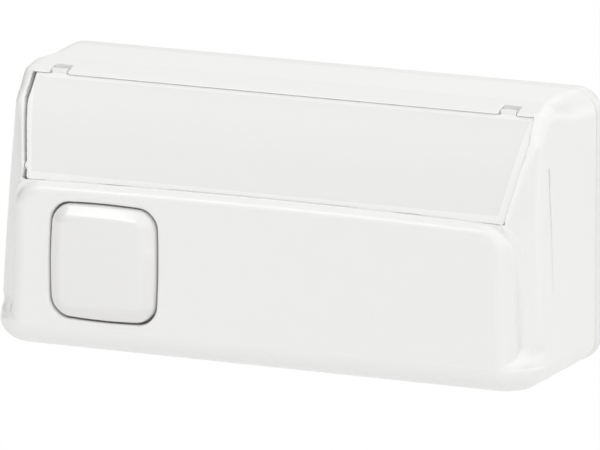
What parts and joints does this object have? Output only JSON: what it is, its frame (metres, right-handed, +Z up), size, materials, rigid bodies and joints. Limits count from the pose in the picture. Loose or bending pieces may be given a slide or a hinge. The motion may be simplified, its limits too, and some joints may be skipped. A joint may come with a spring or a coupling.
{
  "type": "doorbell push button",
  "caption": "Wall-mounted bell push: white wedge-shaped casing, slanted name plate under a clear window, square sprung push button on a raised bar, lamp and contacts inside.",
  "frame": {"origin": "middle of the back, in the wall plane, half way between the two wall screws", "axes": "+X to the right seen from the front, +Y into the wall, +Z up"},
  "size_m": [0.0914, 0.0285, 0.0428],
  "materials": {
    "base_grey": "fine satin moulded plastic, slightly greyer than the casing",
    "seal_rubber": "matt black rubber",
    "casing_white": "polished white moulded plastic with soft highlights",
    "plated_screw": "zinc plated steel",
    "window_clear": "clear polished polycarbonate",
    "label_paper": "plain matt white label",
    "carrier_opal": "opal light-spreading plastic",
    "button_white": "polished white moulded plastic",
    "inner_plastic": "plain moulded plastic",
    "spring_steel": "drawn spring steel wire",
    "block_plastic": "dark insulating moulding",
    "spring_bronze": "phosphor bronze strip",
    "brass": "bright brass",
    "silver": "silvered contact metal",
    "lamp_glass": "thin clear lamp glass"
  },
  "bodies": {
    "casing": {"base_plate": "base_grey", "back_gasket": "seal_rubber", "cable_grommet": "seal_rubber", "front_casing": "casing_white", "cover_screws": "plated_screw", "name_label": "label_paper", "label_carrier": "carrier_opal", "button_guide": "inner_plastic", "return_spring": "spring_steel", "contact_block": "block_plastic", "moving_contact": "spring_bronze", "fixed_contact": "brass", "contact_rivets": "silver", "terminal_upper": "brass", "terminal_lower": "brass", "terminal_screws": "plated_screw", "lamp_holder": "block_plastic", "lamp_clip_left": "spring_bronze", "lamp_clip_right": "spring_bronze", "lamp_caps": "silver", "lamp_glass": "lamp_glass", "lamp_filament": "spring_steel"},
    "button": {"push_button": "button_white"},
    "window": {"name_window": "window_clear"}
  },
  "joints": [
    {"name": "button_press", "type": "slide", "parent": "casing", "child": "button", "axis": [0, 1, 0], "range_m": [0, 0.0015], "stiffness_N_per_m": 900, "springref_m": -0.001, "deforming": ["return_spring", "moving_contact"]},
    {"name": "window_hinge", "type": "hinge", "parent": "casing", "child": "window", "pos_m": [0, -0.02378, 0.0062], "axis": [1, 0, 0], "range_deg": [0, 75]}
  ]
}
